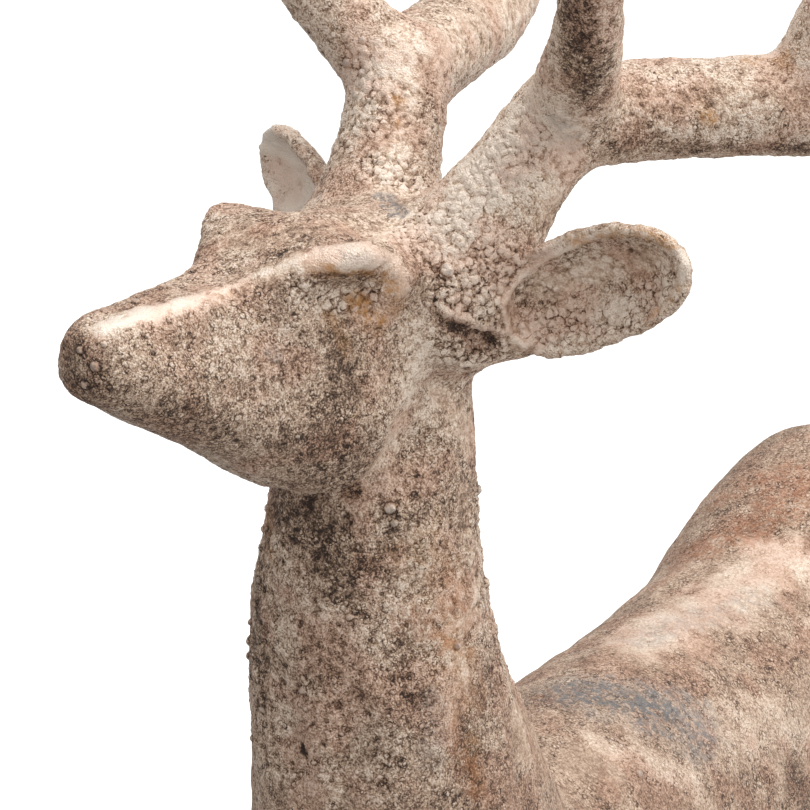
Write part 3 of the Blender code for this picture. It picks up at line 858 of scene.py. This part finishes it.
# How light the bare patina is, from 0 in a crack to 1 on a worn crest, and what each mark adds to that
PATINA_LEVEL = 0.608
MARK_WEIGHTS = (
    ("raised", 0.1),
    ("crust", 0.22),
    ("body", -0.08),
    ("horn", 0.12),
    # Pale brings wear and painted highlights and light; dark brings darker patina and painted shade
    ("pale", 0.27),
    ("dark", -0.3),
)
PATINA_STOPS = (
    (0.06, tint(52, 38, 30)),
    (0.26, tint(104, 80, 63)),
    (0.46, tint(166, 138, 116)),
    (0.64, tint(208, 181, 158)),
    (0.88, tint(242, 225, 208)),
)
SOOT = tint(50, 38, 30)
PINK = tint(222, 178, 160)
BARE_METAL = tint(214, 172, 104)
PAINTS = (
    ("ochre", tint(196, 136, 66)),
    ("rust", tint(186, 122, 84)),
    ("grey", tint(138, 134, 132)),
)
BUMP_DEPTH = 0.45 * MM


def patina():
    """Cast metal under a beige brown patina: dark in the cracks, pale and worn on what stands proud. Painted
    highlights and painted light lie on ridges and some sides, and painted shade under the jaw, the brow, the
    beam and the ear's rim.
    """
    material = bpy.data.materials.new("patinated_bronze")
    material.use_nodes = True
    n = Nodes(material)
    shader = material.node_tree.nodes["Principled BSDF"]
    crusted = n.mark("crust")
    satin = n.mark("smooth")
    grain, fleck, mottle, cloud = (n.noise(*layer) for layer in (GRAIN, FLECK, MOTTLE, CLOUD))
    sharp = n.ranged(n.noise(*SHARP), 0.38, 0.62)
    # Coarse lumps on the crust, and two sizes of finer pebbles elsewhere
    bent = n.warped(1.3, 0.7)
    lump_edge = n.cells(bent, 2.9, "DISTANCE_TO_EDGE")["Distance"]
    lump_crack = n.times(n.ranged(lump_edge, 0.0, 0.12, 1.0, 0.0), n.ranged(fleck, 0.38, 0.56))
    pebble, moat = n.pebbles(bent, 1.9)
    bead, rim = n.pebbles(bent, 1.0)
    # Smooth places have less grain, crusts fewer pebbles, and the body is calmer all over
    plain = n.plus(1.0, satin, -0.75)
    calm = n.plus(1.0, n.mark("body"), -0.55)
    gritty = n.times(n.ranged(mottle, 0.4, 0.54, 0.2, 1.0), plain)
    gritty = n.times(gritty, n.plus(1.0, crusted, -0.7))
    # How light each spot is
    light = n.plus(PATINA_LEVEL, n.math("SUBTRACT", grain, 0.5), n.plus(0.4, plain, 0.9))
    light = n.plus(light, n.math("SUBTRACT", sharp, 0.5), n.times(n.times(plain, calm), 0.2))
    for layer, weight in ((fleck, 0.65), (mottle, 0.42), (cloud, 0.5)):
        light = n.plus(light, n.math("SUBTRACT", layer, 0.5), n.times(calm, weight))
    for spot, gap in ((pebble, moat), (bead, rim)):
        broken = n.times(gap, n.ranged(grain, 0.36, 0.58))
        light = n.plus(light, n.times(broken, gritty), -0.46)
        light = n.plus(light, n.times(spot, gritty), 0.22)
    light = n.plus(light, n.times(lump_crack, crusted), -0.55)
    light = n.plus(light, n.times(n.mark("cavity"), calm), -0.32)
    # The pale and dark marks add painted highlights and painted shade, as well as the patina's own paler and
    # darker places
    for name, weight in MARK_WEIGHTS:
        light = n.plus(light, n.mark(name), weight)
    # The colour: the patina, a blush, the coloured patches, and specks of bare gold-coloured metal
    colour = n.ramp(light, PATINA_STOPS)
    blush = n.ranged(n.noise(*BLUSH), 0.45, 0.62)
    colour = n.mix(n.times(blush, 0.35), colour, PINK, "MULTIPLY")
    patchy = n.plus(0.15, n.ranged(n.noise(*PATCHY), 0.4, 0.6), 0.7)
    for name, paint in PAINTS:
        tinted = n.mix(n.plus(0.25, light, 0.9), SOOT, paint)
        colour = n.mix(n.times(n.mark(name), patchy), colour, tinted)
    gold = n.times(n.ranged(grain, 0.62, 0.7), n.ranged(mottle, 0.42, 0.6, 0.0, 0.75))
    n.put(shader.inputs["Base Color"], n.mix(gold, colour, BARE_METAL))
    n.put(shader.inputs["Metallic"], n.plus(0.12, gold, 0.5))
    n.put(shader.inputs["Roughness"], n.plus(n.ranged(light, 0.2, 0.85, 0.72, 0.42), n.mark("pale"), -0.18))
    shader.inputs["Specular IOR Level"].default_value = 0.5
    # Grit finer than the mesh
    fine = n.plus(n.plus(fleck, sharp, 0.25), grain, 0.9)
    fine = n.plus(fine, pebble, n.times(gritty, 0.8))
    fine = n.plus(fine, bead, n.times(gritty, 0.4))
    bump = material.node_tree.nodes.new("ShaderNodeBump")
    bump.inputs["Distance"].default_value = BUMP_DEPTH
    n.put(bump.inputs["Strength"], n.plus(1.0, satin, -0.5))
    n.put(bump.inputs["Height"], fine)
    n.put(shader.inputs["Normal"], bump.outputs["Normal"])
    return material


def add_stag():
    """The one piece, which takes the solid's place."""
    points, faces = fine_skin()
    height, crust, crack, ragged = relief(points, faces)
    piece = mesh_piece("stag_cast", raised_skin(points, faces, height), faces, patina())
    for name, values in patina_marks(points, faces, height, crust, crack, ragged).items():
        layer = piece.data.attributes.new(name, "FLOAT", "POINT")
        layer.data.foreach_set("value", values.astype(np.float32))
    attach(piece, "root")
    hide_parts("stag")


def add_camera():
    """The camera at the photograph's viewing angle."""
    data = bpy.data.cameras.new("camera")
    data.sensor_width = SENSOR
    data.lens = SENSOR * DISTANCE / FIELD
    data.clip_start = 0.05
    data.clip_end = 100.0
    camera = bpy.data.objects.new("camera", data)
    bpy.context.scene.collection.objects.link(camera)
    camera.location = EYE
    camera.rotation_mode = "QUATERNION"
    camera.rotation_quaternion = Vector(-BACK).to_track_quat("-Z", "Y")
    bpy.context.scene.camera = camera


FLOOR_REACH = 40.0
FLOOR_DROP = 0.2 * MM
FLOOR_GLOW = 0.45


def add_floor():
    """A plain pale floor, just below the underside."""
    material = bpy.data.materials.new("floor")
    material.use_nodes = True
    shader = material.node_tree.nodes["Principled BSDF"]
    shader.inputs["Base Color"].default_value = (0.9, 0.9, 0.9, 1.0)
    shader.inputs["Roughness"].default_value = 0.9
    shader.inputs["Specular IOR Level"].default_value = 0.0
    shader.inputs["Emission Color"].default_value = (1.0, 1.0, 1.0, 1.0)
    shader.inputs["Emission Strength"].default_value = FLOOR_GLOW
    corners = np.array([(-1, -1, 0), (1, -1, 0), (1, 1, 0), (-1, 1, 0)]) * FLOOR_REACH
    floor = mesh_piece("floor", corners - (0.0, 0.0, FLOOR_DROP), np.array([(0, 1, 2), (0, 2, 3)]), material)
    floor.visible_diffuse = False
    floor.visible_glossy = False


# The surround's strength in the middle, and the way in which it grows stronger
SURROUND = 0.66
SURROUND_SLANT = RIGHT * 0.2 + BACK * 0.06 + np.array((0.0, 0.0, 0.24))

# The soft lamps: name, place, width, height, watts
LAMPS = (
    ("overhead", (0.15, 0.1, 1.7), 1.3, 1.0, 13.0),
    ("side", (1.5, 0.5, 0.9), 0.9, 1.2, 8.0),
)


def add_surround():
    """A surround that is white to the eye, and lights the stag less from below and from its right."""
    world = bpy.data.worlds.new("studio")
    bpy.context.scene.world = world
    world.use_nodes = True
    nodes, links = world.node_tree.nodes, world.node_tree.links
    around = nodes.new("ShaderNodeTexCoord")
    slant = nodes.new("ShaderNodeVectorMath")
    slant.operation = "DOT_PRODUCT"
    slant.inputs[1].default_value = SURROUND_SLANT
    links.new(around.outputs["Generated"], slant.inputs[0])
    level = nodes.new("ShaderNodeMath")
    level.operation = "ADD"
    level.inputs[1].default_value = SURROUND
    links.new(slant.outputs["Value"], level.inputs[0])
    path = nodes.new("ShaderNodeLightPath")
    strength = nodes.new("ShaderNodeMix")
    links.new(path.outputs["Is Camera Ray"], strength.inputs[0])
    links.new(level.outputs[0], strength.inputs[2])
    strength.inputs[3].default_value = 1.0
    links.new(strength.outputs[0], nodes["Background"].inputs["Strength"])
    nodes["Background"].inputs["Color"].default_value = (1.0, 1.0, 1.0, 1.0)


def add_lamps():
    """Large soft lamps overhead and to one side, aimed at the head."""
    for name, place, width, height, watts in LAMPS:
        lamp = bpy.data.lights.new(name, "AREA")
        lamp.shape = "RECTANGLE"
        lamp.size = width
        lamp.size_y = height
        lamp.energy = watts
        softbox = bpy.data.objects.new(name, lamp)
        bpy.context.scene.collection.objects.link(softbox)
        softbox.location = place
        softbox.rotation_mode = "QUATERNION"
        softbox.rotation_quaternion = (Vector(TARGET) - softbox.location).to_track_quat("-Z", "Y")


add_stag()
add_camera()
add_floor()
add_surround()
add_lamps()
bpy.context.scene.view_settings.view_transform = "Standard"
bpy.context.scene.cycles.diffuse_bounces = 2
